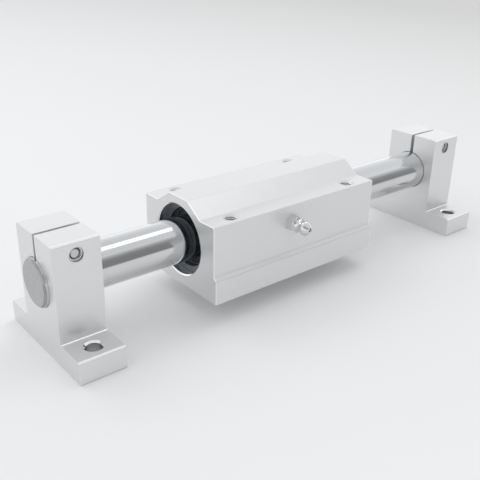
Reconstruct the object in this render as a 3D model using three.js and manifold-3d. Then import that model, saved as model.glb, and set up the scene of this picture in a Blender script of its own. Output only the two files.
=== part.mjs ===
// Linear guide set for a 20 mm round shaft: a hardened shaft clamped in two split supports, and a long
// pillow block that slides on it on two ball bushings. Millimetres, +Z up. The origin is the centre of the
// near support's base; +X runs along the shaft to the far support; the grease nipple is on the -Y side.
import * as THREE from 'three';
import { mergeVertices } from 'three/addons/utils/BufferGeometryUtils.js';
import Module from 'manifold-3d';

const wasm = await Module();
wasm.setup();

// Facets around a full turn: the shaft and its clamps, the block's bore, hidden round pieces, small holes.
const FINE = 48;
const MEDIUM = 36;
const ROUND = 24;
const SMALL = 16;
const RUNNING_GAP = 0.1;
const PAST = 2; // how far a cutter runs out past the face it cuts

const shaft = { radius: 10, length: 250, overhang: 1.8, chamfer: 0.8 };

const support = {
  width: 60, footHeight: 10, postWidth: 30, height: 51, length: 20, spacing: 223,
  axisHeight: 31, slit: 1.8, edge: 0.8, corner: 0.9,
  boltSpan: 45, boltHole: 3.3, boltSink: 0.5,
};

// M5 x 25 socket screw across the slit, its head half sunk in the +Y cheek and its tip just inside the
// -Y face.
const clamp = {
  height: 45.4, seat: 11.6, headRadius: 4.25, headHeight: 5, pocketRadius: 4.75, threadRadius: 2.5,
  holeRadius: 2.65, mouthRadius: 3.25, length: 25, keyAcross: 4, keyDepth: 2.5,
};

const block = {
  centre: 103, length: 96, bottom: 10, lowerWidth: 54, lowerTop: 21, upperWidth: 50.8, bevelTop: 22.6,
  shoulder: 45, crownFoot: 15.6, crownTop: 6.8, top: 51, edge: 0.4,
  bore: 16.08, boreChamfer: 0.5, greaseChannel: { radius: 16.7, length: 13 },
  holeSpacing: [70, 40], holeRadius: 2.6, holeSink: 0.6,
};

const circlip = { thickness: 1.2, outer: 16.75, inner: 13.6, groove: 17, side: 0.15, gapAngle: 0.16 };
const lug = { inner: 11.7, angle: 0.2, eye: 0.95, eyeRadius: 13.5, direction: -0.6 };

// Ball bushing, 32 mm outside and 42 mm long: u is measured along it from its middle, and its outer end,
// the one with the seal, is at u = -21.
const bush = {
  length: 42, outer: 15.95, race: 13.4, seat: 14, seatDepth: 4.4,
  ringGroove: 14.8, ringFrom: 0.9, ringTo: 2.1,
  collarGroove: 15.25, collarSpan: 30.5, collarWidth: 1.6, chamfer: 0.5, apart: 0.3,
};
const ring = { outer: 14.55, inner: 12.6, thickness: 0.9, gapAngle: 0.14 };
const seal = { outer: 13.8, inner: 10.9, lip: 10.15, thickness: 1.7, lipThickness: 0.5, gap: 0.2 };
const cage = { inner: 10.5, outer: 13.1, flange: 13.8, flangeWidth: 1.8, sealEnd: -16.5, ringEnd: 18.5 };

// Each ball circuit is a closed loop: a loaded row on the shaft, a return row further out, and two turns.
const circuit = {
  count: 5, balls: 18, ballRadius: 1.55, neck: 0.45, straight: 23.6, turn: 2, loaded: 11.5875, back: 12.55,
  middle: 0.4, channel: 1.66, sides: 6, turnSteps: 6,
};

// Straight grease nipple, M6 shank and 7 mm hexagon; stations run outwards from the block's side face.
const nipple = {
  x: 98.4, height: 36.7, shankRadius: 2.95, shankDepth: 5.5, holeRadius: 3.1, passageRadius: 2,
  hexAcross: 7, hexHeight: 4.2, collar: 4.8, neckRadius: 2.35, neckFrom: 6.2, neckTo: 7,
  headRadius: 3.25, headFrom: 8, headTo: 9.4, tipRadius: 1.7, length: 11.6,
};
const valve = {
  boreRadius: 1.4, lipRadius: 0.8, lipLength: 0.7, ballRadius: 1.2, ball: 9.85, seat: 11, cone: 1.2,
};
const spring = { radius: 0.95, wire: 0.15, turns: 6, stepsPerTurn: 7, from: -4.6, to: 8.85 };

// --- materials -------------------------------------------------------------------------------------------

function metal(color, roughness, metalness = 1) {
  return new THREE.MeshStandardMaterial({ color, roughness, metalness, flatShading: true });
}

const paint = {
  block: () => metal(0xd9dbd8, 0.42),
  support: () => metal(0xcfd2cf, 0.38),
  chrome: () => metal(0xc4c8cc, 0.08),
  bearingSteel: () => metal(0x8b8e92, 0.25),
  ball: () => metal(0xd0d3d6, 0.08),
  springSteel: () => metal(0x2c2e31, 0.45),
  screw: () => metal(0xb9bbbd, 0.3),
  nipple: () => metal(0xb4b6b0, 0.25),
  cage: () => metal(0x33373c, 0.55, 0),
  rubber: () => metal(0x1b1c1e, 0.7, 0),
};

// --- solids ----------------------------------------------------------------------------------------------

function solidOf(geometry) {
  const bare = geometry.clone();
  bare.deleteAttribute('normal');
  bare.deleteAttribute('uv');
  const merged = mergeVertices(bare, 1e-4);
  const index = merged.index.array;
  const triangles = [];
  for (let i = 0; i < index.length; i += 3) {
    const [a, b, c] = [index[i], index[i + 1], index[i + 2]];
    if (a !== b && b !== c && c !== a) triangles.push(a, b, c);
  }
  return new wasm.Manifold(new wasm.Mesh({
    numProp: 3,
    vertProperties: Float32Array.from(merged.attributes.position.array),
    triVerts: Uint32Array.from(triangles),
  }));
}

function geometryOf(solid) {
  const { vertProperties, triVerts } = solid.getMesh();
  const geometry = new THREE.BufferGeometry();
  geometry.setAttribute('position', new THREE.BufferAttribute(Float32Array.from(vertProperties), 3));
  geometry.setIndex(new THREE.BufferAttribute(Uint32Array.from(triVerts), 1));
  geometry.computeVertexNormals();
  return geometry;
}

// A solid of revolution from [radius, station] pairs, turned about the named axis.
function turned(profile, axis, sides) {
  const points = profile.map(([radius, station]) => new THREE.Vector2(radius, station));
  const geometry = new THREE.LatheGeometry(points, sides);
  if (axis === 'x') geometry.rotateZ(-Math.PI / 2);
  if (axis === 'z') geometry.rotateX(Math.PI / 2);
  return solidOf(geometry);
}

function closed(profile) {
  return [...profile, profile[0]];
}

// An outline in the Y-Z plane made solid along X, centred on x = 0.
function extrudedAlongX(shape, length, curveSegments = 12) {
  const geometry = new THREE.ExtrudeGeometry(shape, { depth: length, bevelEnabled: false, curveSegments });
  geometry.translate(0, 0, -length / 2);
  const axes = [new THREE.Vector3(0, 1, 0), new THREE.Vector3(0, 0, 1), new THREE.Vector3(1, 0, 0)];
  geometry.applyMatrix4(new THREE.Matrix4().makeBasis(...axes));
  return solidOf(geometry);
}

function mirroredOutline(half) {
  const left = half.map(([y, z]) => [-y, z]).reverse();
  return new THREE.Shape([...half, ...left].map(([y, z]) => new THREE.Vector2(y, z)));
}

// A through hole along Z from low to high, with a small countersink at its upper end.
function sunkHole(radius, sink, low, high) {
  return turned([
    [0, low - PAST], [radius, low - PAST], [radius, high - sink],
    [radius + sink + PAST, high + PAST], [0, high + PAST],
  ], 'z', SMALL);
}

function hexPrism(across, height) {
  return new THREE.CylinderGeometry(across / Math.sqrt(3), across / Math.sqrt(3), height, 6);
}

function part(name, solid, material) {
  const mesh = new THREE.Mesh(geometryOf(solid), material);
  mesh.name = name;
  return mesh;
}

// --- shaft and supports ----------------------------------------------------------------------------------

function shaftSolid() {
  const { radius, length, chamfer } = shaft;
  return turned([
    [0, 0], [radius - chamfer, 0], [radius, chamfer],
    [radius, length - chamfer], [radius - chamfer, length], [0, length],
  ], 'x', FINE);
}

function supportOutline() {
  const { width, footHeight, postWidth, height, edge, corner } = support;
  const fillet = [];
  for (const turn of [0, 0.25, 0.5, 0.75, 1]) {
    const angle = (turn * Math.PI) / 2;
    fillet.push([
      postWidth / 2 + corner * (1 - Math.sin(angle)),
      footHeight + corner * (1 - Math.cos(angle)),
    ]);
  }
  return mirroredOutline([
    [width / 2, 0], [width / 2, footHeight - edge], [width / 2 - edge, footHeight],
    ...fillet,
    [postWidth / 2, height - edge], [postWidth / 2 - edge, height],
  ]);
}

function clampHole() {
  const { seat, pocketRadius, holeRadius, mouthRadius } = clamp;
  const face = support.postWidth / 2;
  const mouth = mouthRadius - holeRadius;
  return turned([
    [0, -face - PAST], [mouthRadius + PAST, -face - PAST], [holeRadius, -face + mouth],
    [holeRadius, seat], [pocketRadius, seat], [pocketRadius, face + PAST], [0, face + PAST],
  ], 'y', SMALL).translate([0, 0, clamp.height]);
}

function supportSolid() {
  const { length, axisHeight, slit, height, boltSpan, boltHole, boltSink, footHeight } = support;
  const boreRadius = shaft.radius + RUNNING_GAP;
  const bore = turned(
    [[0, -length], [boreRadius, -length], [boreRadius, length], [0, length]], 'x', FINE,
  ).translate([0, 0, axisHeight]);
  const slitCut = solidOf(new THREE.BoxGeometry(length * 2, slit, height - axisHeight + PAST))
    .translate([0, 0, (height + axisHeight + PAST) / 2]);
  let body = extrudedAlongX(supportOutline(), length).subtract(bore).subtract(slitCut).subtract(clampHole());
  for (const side of [-1, 1]) {
    const hole = sunkHole(boltHole, boltSink, 0, footHeight);
    body = body.subtract(hole.translate([0, (side * boltSpan) / 2, 0]));
  }
  return body;
}

// Socket-head screw along Y, its head's bearing face at y = 0 and its shank towards -Y.
function screwSolid() {
  const { headRadius, headHeight, threadRadius, length, keyAcross, keyDepth } = clamp;
  const ease = 0.4;
  const body = turned([
    [0, -length], [threadRadius - 2 * ease, -length], [threadRadius, 2 * ease - length], [threadRadius, 0],
    [headRadius, 0], [headRadius, headHeight - ease], [headRadius - ease, headHeight], [0, headHeight],
  ], 'y', SMALL);
  const key = solidOf(hexPrism(keyAcross, keyDepth * 2)).translate([0, headHeight, 0]);
  return body.subtract(key);
}

function clampedSupport(side) {
  const group = new THREE.Group();
  group.add(part(`${side}_support`, supportSolid(), paint.support()));
  const screw = part(`${side}_clamp_screw`, screwSolid(), paint.screw());
  screw.position.set(0, clamp.seat + RUNNING_GAP, clamp.height);
  group.add(screw);
  return group;
}

// --- pillow block ----------------------------------------------------------------------------------------

function blockOutline() {
  const { bottom, lowerWidth, lowerTop, upperWidth, bevelTop, shoulder, edge } = block;
  const { crownFoot, crownTop, top } = block;
  return mirroredOutline([
    [lowerWidth / 2, bottom], [lowerWidth / 2, lowerTop], [upperWidth / 2, bevelTop],
    [upperWidth / 2, shoulder - edge], [upperWidth / 2 - edge, shoulder],
    [crownFoot, shoulder], [crownTop, top],
  ]);
}

// Everything that the bore takes out of the block: mouths, circlip grooves and the grease channel.
function boreCut() {
  const { length, bore, boreChamfer, greaseChannel } = block;
  const end = length / 2;
  const ringMiddle = circlipStation();
  const half = circlip.thickness / 2 + circlip.side;
  const left = [
    [0, -end - PAST], [bore + boreChamfer + PAST, -end - PAST], [bore, -end + boreChamfer],
    [bore, -ringMiddle - half], [circlip.groove, -ringMiddle - half],
    [circlip.groove, -ringMiddle + half], [bore, -ringMiddle + half],
    [bore, -greaseChannel.length / 2], [greaseChannel.radius, -greaseChannel.length / 2],
  ];
  const right = left.map(([radius, station]) => [radius, -station]).reverse();
  return turned([...left, ...right], 'x', MEDIUM).translate([0, 0, support.axisHeight]);
}

function bushStation() {
  return (bush.length + bush.apart) / 2;
}

function circlipStation() {
  return bushStation() + bush.length / 2 + circlip.side + circlip.thickness / 2;
}

function nippleHole() {
  const face = block.upperWidth / 2;
  const floor = nipple.shankDepth + 0.5;
  return turned([
    [0, -face - PAST], [nipple.holeRadius, -face - PAST], [nipple.holeRadius, floor - face],
    [nipple.passageRadius, floor - face], [nipple.passageRadius, -block.bore / 2], [0, -block.bore / 2],
  ], 'y', SMALL).translate([nipple.x - block.centre, 0, nipple.height]);
}

function blockSolid() {
  const { length, bottom, shoulder, holeSpacing, holeRadius, holeSink } = block;
  let body = extrudedAlongX(blockOutline(), length).subtract(boreCut()).subtract(nippleHole());
  for (const along of [-1, 1]) {
    for (const across of [-1, 1]) {
      const hole = sunkHole(holeRadius, holeSink, bottom, shoulder);
      body = body.subtract(hole.translate([(along * holeSpacing[0]) / 2, (across * holeSpacing[1]) / 2, 0]));
    }
  }
  return body;
}

// An open ring between two radii, its gap centred on angle 0.
function openRing(outer, inner, gapAngle, thickness, curveSegments) {
  const shape = new THREE.Shape();
  shape.absarc(0, 0, outer, gapAngle, 2 * Math.PI - gapAngle, false);
  shape.absarc(0, 0, inner, 2 * Math.PI - gapAngle, gapAngle, true);
  shape.closePath();
  return extrudedAlongX(shape, thickness, curveSegments);
}

// Internal circlip: an open ring with an eyed lug on each side of its gap.
function circlipSolid() {
  const { outer, inner, gapAngle, thickness } = circlip;
  let body = openRing(outer, inner, gapAngle, thickness, 14);
  for (const side of [-1, 1]) {
    const shape = new THREE.Shape();
    const near = side * gapAngle;
    const far = side * (gapAngle + lug.angle);
    shape.absarc(0, 0, inner + 1, Math.min(near, far), Math.max(near, far), false);
    shape.absarc(0, 0, lug.inner, Math.max(near, far), Math.min(near, far), true);
    shape.closePath();
    const middle = (near + far) / 2;
    const eye = new THREE.Path();
    eye.absarc(lug.eyeRadius * Math.cos(middle), lug.eyeRadius * Math.sin(middle), lug.eye, 0, 2 * Math.PI);
    const hole = extrudedAlongX(new THREE.Shape(eye.getPoints(4)), thickness * 2, 4);
    body = body.add(extrudedAlongX(shape, thickness, 3)).subtract(hole);
  }
  return body;
}

function circlips() {
  const group = new THREE.Group();
  for (const [side, way] of [['near', -1], ['far', 1]]) {
    const mesh = part(`${side}_circlip`, circlipSolid(), paint.springSteel());
    mesh.position.set(way * circlipStation(), 0, support.axisHeight);
    mesh.rotation.x = lug.direction;
    group.add(mesh);
  }
  return group;
}

// --- grease nipple, built along +Y and turned to face -Y --------------------------------------------------

function nippleBodySolid() {
  const { shankRadius, shankDepth, hexAcross, hexHeight, length } = nipple;
  const { collar, neckRadius, neckFrom, neckTo, headRadius, headFrom, headTo, tipRadius } = nipple;
  const { boreRadius, lipRadius, lipLength, seat, cone } = valve;
  const overCorners = hexAcross / Math.sqrt(3);
  const ease = 0.5;
  const blank = turned([
    [0, 0], [overCorners, 0], [overCorners, hexHeight - ease],
    [overCorners - 2 * ease, hexHeight], [0, hexHeight],
  ], 'y', ROUND);
  const hexagon = solidOf(hexPrism(hexAcross, hexHeight * 2)).intersect(blank);
  const stem = turned([
    [0, -shankDepth], [shankRadius - ease, -shankDepth], [shankRadius, ease - shankDepth],
    [shankRadius, collar], [neckRadius, neckFrom], [neckRadius, neckTo],
    [headRadius, headFrom], [headRadius, headTo],
    [tipRadius, length], [0, length],
  ], 'y', ROUND);
  const passage = turned([
    [0, -shankDepth - PAST], [lipRadius, -shankDepth - PAST], [lipRadius, lipLength - shankDepth],
    [boreRadius, lipLength - shankDepth], [boreRadius, seat - cone], [lipRadius, seat],
    [lipRadius, length + PAST], [0, length + PAST],
  ], 'y', SMALL);
  return stem.add(hexagon).subtract(passage);
}

class Helix extends THREE.Curve {
  getPoint(t, target = new THREE.Vector3()) {
    const angle = 2 * Math.PI * spring.turns * t;
    const station = spring.from + (spring.to - spring.from) * t;
    return target.set(spring.radius * Math.cos(angle), station, spring.radius * Math.sin(angle));
  }
}

function springSolid() {
  const section = new THREE.Path().absarc(0, 0, spring.wire, 0, 2 * Math.PI);
  const geometry = new THREE.ExtrudeGeometry(new THREE.Shape(section.getPoints(3).slice(0, -1)), {
    extrudePath: new Helix(),
    steps: spring.turns * spring.stepsPerTurn,
  });
  return solidOf(geometry);
}

function greaseNipple() {
  const group = new THREE.Group();
  group.add(part('nipple_body', nippleBodySolid(), paint.nipple()));
  const ball = solidOf(new THREE.SphereGeometry(valve.ballRadius, 12, 8)).translate([0, valve.ball, 0]);
  group.add(part('nipple_ball', ball, paint.ball()));
  group.add(part('nipple_spring', springSolid(), paint.springSteel()));
  group.position.set(nipple.x, -block.upperWidth / 2, nipple.height);
  group.rotation.z = Math.PI;
  return group;
}

// --- ball bushings, built along +X with the sealed end at -X ----------------------------------------------

// Where a circuit runs, a given distance along it: the centre, and the section's two directions. Each
// half of the loop is a straight row and the turn after it.
function trackFrame(distance, heading) {
  const { straight, turn, loaded, back, middle } = circuit;
  const half = trackLength() / 2;
  const returning = distance >= half;
  const way = returning ? -1 : 1;
  const run = returning ? distance - half : distance;
  const share = Math.max(0, run - straight) / (Math.PI * turn);
  const blend = share * share * (3 - 2 * share);
  const radius = returning ? back + (loaded - back) * blend : loaded + (back - loaded) * blend;
  const along = way * (Math.min(run, straight) - straight / 2 + turn * Math.sin(Math.PI * share));
  const offset = -way * turn * Math.cos(Math.PI * share);
  const course = Math.PI * (returning ? share + 1 : share);
  const angle = heading + (offset * 2) / (loaded + back);
  const radial = new THREE.Vector3(0, Math.cos(angle), Math.sin(angle));
  const around = new THREE.Vector3(0, -Math.sin(angle), Math.cos(angle));
  const travel = new THREE.Vector3(Math.cos(course), 0, 0).addScaledVector(around, Math.sin(course));
  return {
    centre: radial.clone().multiplyScalar(radius).setX(middle + along),
    radial,
    side: new THREE.Vector3().crossVectors(travel, radial),
  };
}

// A closed tube through stations along a circuit, each station [distance, section radius].
function trackTube(stations, heading) {
  const { sides } = circuit;
  const positions = [];
  const index = [];
  stations.forEach(([distance, radius], i) => {
    const { centre, radial, side } = trackFrame(distance, heading);
    const next = (i + 1) % stations.length;
    for (let j = 0; j < sides; j += 1) {
      const angle = (2 * Math.PI * j) / sides;
      const point = centre.clone()
        .addScaledVector(radial, radius * Math.cos(angle))
        .addScaledVector(side, radius * Math.sin(angle));
      positions.push(point.x, point.y, point.z);
      const k = (j + 1) % sides;
      const [a, b, c, d] = [i * sides + j, i * sides + k, next * sides + k, next * sides + j];
      index.push(a, b, c, a, c, d);
    }
  });
  const geometry = new THREE.BufferGeometry();
  geometry.setAttribute('position', new THREE.Float32BufferAttribute(positions, 3));
  geometry.setIndex(index);
  return solidOf(geometry);
}

function trackLength() {
  return 2 * (circuit.straight + Math.PI * circuit.turn);
}

function heading(number) {
  return Math.PI / 2 + (2 * Math.PI * number) / circuit.count;
}

// One circuit's balls, joined at their touching points.
function ballChain(number) {
  const pitch = trackLength() / circuit.balls;
  const stations = [];
  for (let ball = 0; ball < circuit.balls; ball += 1) {
    stations.push([ball * pitch, circuit.neck], [(ball + 0.5) * pitch, circuit.ballRadius]);
  }
  return trackTube(stations, heading(number));
}

// The room that a circuit's balls run in, cut from the cage and the sleeve.
function ballChannel(number) {
  const { straight, turn, turnSteps, channel } = circuit;
  const stations = [];
  for (const start of [0, straight + Math.PI * turn]) {
    stations.push([start, channel]);
    for (let step = 0; step < turnSteps; step += 1) {
      stations.push([start + straight + (Math.PI * turn * step) / turnSteps, channel]);
    }
  }
  return trackTube(stations, heading(number));
}

function withChannels(solid) {
  let body = solid;
  for (let number = 0; number < circuit.count; number += 1) body = body.subtract(ballChannel(number));
  return body;
}

function sleeveSolid() {
  const { length, outer, race, seat, seatDepth, ringGroove, ringFrom, ringTo, chamfer } = bush;
  const { collarGroove, collarSpan, collarWidth } = bush;
  const end = length / 2;
  const outside = [
    [outer - chamfer, -end], [outer, chamfer - end],
    [outer, -collarSpan / 2], [collarGroove, -collarSpan / 2],
    [collarGroove, collarWidth - collarSpan / 2], [outer, collarWidth - collarSpan / 2],
  ];
  const inside = [
    [race, end - seatDepth], [seat, end - seatDepth], [seat, end - ringTo], [ringGroove, end - ringTo],
    [ringGroove, end - ringFrom], [seat, end - ringFrom], [seat, end],
  ].reverse();
  const flip = (profile) => profile.map(([radius, station]) => [radius, -station]).reverse();
  const wall = closed([...outside, ...flip(outside), ...inside, ...flip(inside)]);
  return withChannels(turned(wall, 'x', ROUND));
}

function cageSolid() {
  const { inner, outer, flange, flangeWidth, sealEnd, ringEnd } = cage;
  return withChannels(turned(closed([
    [inner, sealEnd], [outer, sealEnd], [outer, ringEnd - flangeWidth], [flange, ringEnd - flangeWidth],
    [flange, ringEnd], [inner, ringEnd],
  ]), 'x', ROUND));
}

// Wiper seal: a disc with a thin lip that runs on the shaft.
function sealSolid() {
  const { outer, inner, lip, thickness, lipThickness } = seal;
  const from = bush.ringTo + seal.gap - bush.length / 2;
  return turned(closed([
    [inner, from], [outer, from], [outer, from + thickness], [inner, from + thickness],
    [lip, from + lipThickness], [lip, from + lipThickness / 2],
  ]), 'x', ROUND);
}

function retainingRing(end) {
  const solid = openRing(ring.outer, ring.inner, ring.gapAngle, ring.thickness, 9);
  const station = bush.length / 2 - (bush.ringFrom + bush.ringTo) / 2;
  return solid.translate([end * station, 0, 0]);
}

function ballBushing(side) {
  const group = new THREE.Group();
  group.add(part(`${side}_sleeve`, sleeveSolid(), paint.bearingSteel()));
  group.add(part(`${side}_cage`, cageSolid(), paint.cage()));
  for (let number = 0; number < circuit.count; number += 1) {
    group.add(part(`${side}_balls_${number + 1}`, ballChain(number), paint.ball()));
  }
  group.add(part(`${side}_seal`, sealSolid(), paint.rubber()));
  group.add(part(`${side}_outer_ring`, retainingRing(-1), paint.springSteel()));
  group.add(part(`${side}_inner_ring`, retainingRing(1), paint.springSteel()));
  return group;
}

function bushings() {
  const group = new THREE.Group();
  for (const [side, way] of [['near', -1], ['far', 1]]) {
    const bushing = ballBushing(side);
    bushing.position.set(way * bushStation(), 0, support.axisHeight);
    if (way > 0) bushing.rotation.z = Math.PI;
    group.add(bushing);
  }
  return group;
}

// --- the whole set ---------------------------------------------------------------------------------------

const guide = new THREE.Group();

const rod = part('shaft', shaftSolid(), paint.chrome());
rod.position.set(-support.length / 2 - shaft.overhang, 0, support.axisHeight);
guide.add(rod);

const nearSupport = clampedSupport('near');
const farSupport = clampedSupport('far');
farSupport.position.x = support.spacing;
guide.add(nearSupport, farSupport);

const carriage = new THREE.Group();
carriage.position.x = block.centre;
carriage.add(part('case', blockSolid(), paint.block()), circlips(), bushings());
guide.add(carriage, greaseNipple());

export default guide;
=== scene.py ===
import math
import bmesh
import bpy
from mathutils import Matrix, Vector


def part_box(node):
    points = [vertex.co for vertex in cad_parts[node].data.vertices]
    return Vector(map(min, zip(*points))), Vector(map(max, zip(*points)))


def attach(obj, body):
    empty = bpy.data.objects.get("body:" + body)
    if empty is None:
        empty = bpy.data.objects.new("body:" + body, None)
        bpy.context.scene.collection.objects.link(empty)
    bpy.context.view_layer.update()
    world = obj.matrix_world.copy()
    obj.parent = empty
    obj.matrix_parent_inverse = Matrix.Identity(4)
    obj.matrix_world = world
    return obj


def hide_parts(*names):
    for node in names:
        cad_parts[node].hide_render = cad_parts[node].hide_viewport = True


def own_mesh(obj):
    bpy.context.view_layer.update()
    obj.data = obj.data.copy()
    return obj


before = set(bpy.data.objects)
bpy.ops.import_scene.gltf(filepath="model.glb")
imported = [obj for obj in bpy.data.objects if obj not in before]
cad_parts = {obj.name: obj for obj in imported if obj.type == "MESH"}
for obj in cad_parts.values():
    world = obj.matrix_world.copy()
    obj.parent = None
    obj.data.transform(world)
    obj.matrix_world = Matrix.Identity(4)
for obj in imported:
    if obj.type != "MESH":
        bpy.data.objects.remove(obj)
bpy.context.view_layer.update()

mm = 0.001
fine = 1e-8   # the nearest that two corners may lie and stay apart in a cut
seam = 2e-7   # corners that a cut leaves nearer than this are one corner
weld = 0.0005 * mm   # and so are drawn corners nearer than this
alongX, alongY, alongZ = Vector((1, 0, 0)), Vector((0, 1, 0)), Vector((0, 0, 1))
sides = {"near": 1, "far": -1}   # which way each end's pieces face along the shaft


def middle(node):
    low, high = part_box(node)
    return (low + high) / 2


axisHeight = middle("shaft").z
caseMiddle = Vector((middle("case").x, 0, axisHeight))


# working habits: what is picked, edited, cut and finished

def pick(*pieces):
    if bpy.context.mode != "OBJECT":
        bpy.ops.object.mode_set(mode="OBJECT")
    bpy.ops.object.select_all(action="DESELECT")
    for piece in pieces:
        piece.select_set(True)
    bpy.context.view_layer.objects.active = pieces[0] if pieces else None


def openEdit(piece):
    pick(piece)
    bpy.ops.object.mode_set(mode="EDIT")
    bpy.ops.mesh.select_mode(type="VERT")
    bpy.ops.mesh.select_all(action="SELECT")


def closeEdit():
    bpy.ops.object.mode_set(mode="OBJECT")


def selectWhere(piece, kind, test):
    # kind is "VERT", "EDGE" or "FACE"; the test gets each item of the open mesh, with places in the frame
    bpy.ops.mesh.select_mode(type=kind)
    bpy.ops.mesh.select_all(action="DESELECT")
    mesh = bmesh.from_edit_mesh(piece.data)
    for item in {"VERT": mesh.verts, "EDGE": mesh.edges, "FACE": mesh.faces}[kind]:
        if test(item):
            item.select_set(True)
    mesh.select_flush_mode()
    bmesh.update_edit_mesh(piece.data)


def settle(piece):
    pick(piece)
    bpy.ops.object.transform_apply(location=True, rotation=True, scale=True)
    return piece


def applied(piece, kind, **settings):
    pick(piece)
    modifier = piece.modifiers.new(kind.lower(), kind)
    for setting, value in settings.items():
        setattr(modifier, setting, value)
    bpy.ops.object.modifier_apply(modifier=modifier.name)
    return piece


def softened(piece, width, segments=2, angle=30):
    return applied(
        piece, "BEVEL", width=width * mm, segments=segments,
        limit_method="ANGLE", angle_limit=math.radians(angle),
    )


def cut(piece, *cutters, operation="DIFFERENCE"):
    for cutter in cutters:
        applied(piece, "BOOLEAN", object=cutter, operation=operation, solver="EXACT")
        bpy.data.objects.remove(cutter)
    return piece


def copied(piece, name, turn=None):
    # a copy with its own mesh, turned by a matrix in the frame
    pick(piece)
    bpy.ops.object.duplicate(linked=False)
    twin = bpy.context.object
    twin.name = name
    if turn is not None:
        twin.matrix_world = turn @ twin.matrix_world
        settle(twin)
    return twin


def turnAbout(centre, axis, angle):
    return Matrix.Translation(centre) @ Matrix.Rotation(angle, 4, axis) @ Matrix.Translation(-centre)


def joined(name, pieces):
    pick(*pieces)
    if len(pieces) > 1:
        bpy.ops.object.join()
    piece = bpy.context.object
    piece.name = name
    return settle(piece)


def drawn(name, points, closed=False):
    # a line drawn from a plane merged to a point, then extruded from corner to corner
    pick()
    bpy.ops.mesh.primitive_plane_add(size=mm, location=points[0])
    piece = bpy.context.object
    piece.name = name
    openEdit(piece)
    bpy.ops.mesh.merge(type="CENTER")
    route = points + points[:1] if closed else points
    for start, end in zip(route, route[1:]):
        bpy.ops.mesh.extrude_vertices_move(TRANSFORM_OT_translate={"value": end - start})
    bpy.ops.mesh.select_all(action="SELECT")
    bpy.ops.mesh.remove_doubles(threshold=weld)
    return piece


def turned(name, origin, axis, profile, steps=96, closed=False):
    # (radius, station) pairs in millimetres, spun about the axis through the origin
    outward = alongX if abs(axis.z) > 0.5 else alongZ
    points = [origin + (outward * radius + axis * station) * mm for radius, station in profile]
    piece = drawn(name, points, closed)
    bpy.ops.mesh.spin(steps=steps, angle=2 * math.pi, center=origin, axis=axis)
    bpy.ops.mesh.select_all(action="SELECT")
    bpy.ops.mesh.remove_doubles(threshold=weld)
    bpy.ops.mesh.normals_make_consistent(inside=False)
    closeEdit()
    return settle(piece)


def prism(name, outline, travel):
    # a closed outline filled and extruded
    piece = drawn(name, outline, closed=True)
    bpy.ops.mesh.edge_face_add()
    bpy.ops.mesh.extrude_region_move(TRANSFORM_OT_translate={"value": travel})
    bpy.ops.mesh.select_all(action="SELECT")
    bpy.ops.mesh.normals_make_consistent(inside=False)
    closeEdit()
    return settle(piece)


def across(x, y, z):
    return Vector((x, y * mm, z * mm))


def mirroredOutline(x, half):
    left = [(-y, z) for y, z in reversed(half)]
    return [across(x, y, z) for y, z in half + left]


def trimmed(place, away):
    # the open mesh loses what lies beyond a plane, and is closed there
    bpy.ops.mesh.select_all(action="SELECT")
    bpy.ops.mesh.bisect(plane_co=place, plane_no=away, use_fill=True, clear_outer=True, threshold=fine)


def threaded(name, origin, axis, major, minor, pitch, start, end, steps=48):
    # a right-hand screw thread: a zigzag wound from the far end back, then trimmed flat at both ends
    outward = alongX if abs(axis.z) > 0.5 else alongZ
    top = (math.ceil(end / pitch) + 1) * pitch
    profile = [(minor, top), (major, top + 0.42 * pitch), (major, top + 0.55 * pitch), (minor, top + pitch)]
    piece = drawn(name, [origin + (outward * radius + axis * station) * mm for radius, station in profile])
    turns = math.ceil((top - start) / pitch) + 2
    bpy.ops.mesh.screw(steps=steps, turns=turns, center=origin, axis=-axis)
    bpy.ops.mesh.select_all(action="SELECT")
    bpy.ops.mesh.remove_doubles(threshold=weld)
    trimmed(origin + axis * start * mm, -axis)
    trimmed(origin + axis * end * mm, axis)
    bpy.ops.mesh.select_all(action="SELECT")
    bpy.ops.mesh.normals_make_consistent(inside=False)
    closeEdit()
    return settle(piece)


def smoothed(piece, angle=32):
    pick(piece)
    bpy.ops.object.shade_smooth_by_angle(angle=math.radians(angle))
    applied(piece, "WEIGHTED_NORMAL", keep_sharp=True, weight=80)


def welded(piece):
    # joins the doubled points that a boolean can leave
    openEdit(piece)
    bpy.ops.mesh.remove_doubles(threshold=seam)
    closeEdit()
    return piece


def kept(piece, name, body, nodes, finish, angle=32):
    # the finished piece: named, shaded, painted, riding on its body in place of its CAD nodes
    piece.name = name
    smoothed(piece, angle)
    if not piece.data.materials:
        piece.data.materials.append(finish)
    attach(piece, body)
    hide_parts(*nodes)
    return piece


def paintFaces(piece, finish, test):
    # the faces that pass the test get a finish of their own
    openEdit(piece)
    selectWhere(piece, "FACE", test)
    pick(piece)
    piece.data.materials.append(finish)
    piece.active_material_index = len(piece.data.materials) - 1
    bpy.ops.object.mode_set(mode="EDIT")
    bpy.ops.object.material_slot_assign()
    closeEdit()


# shader maths

class Wire:
    def __init__(self, owner, socket):
        self.owner = owner
        self.socket = socket

    def sums(self, operation, *values):
        return self.owner.node("ShaderNodeMath", {"operation": operation}, dict(enumerate(values)))

    def __add__(self, other):
        return self.sums("ADD", self, other)

    def __sub__(self, other):
        return self.sums("SUBTRACT", self, other)

    def __rsub__(self, other):
        return self.sums("SUBTRACT", other, self)

    def __mul__(self, other):
        return self.sums("MULTIPLY", self, other)

    def __truediv__(self, other):
        return self.sums("DIVIDE", self, other)

    def __pow__(self, other):
        return self.sums("POWER", self, other)

    __radd__ = __add__
    __rmul__ = __mul__

    def clamped(self):
        return self.sums("MINIMUM", self.sums("MAXIMUM", self, 0), 1)


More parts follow.
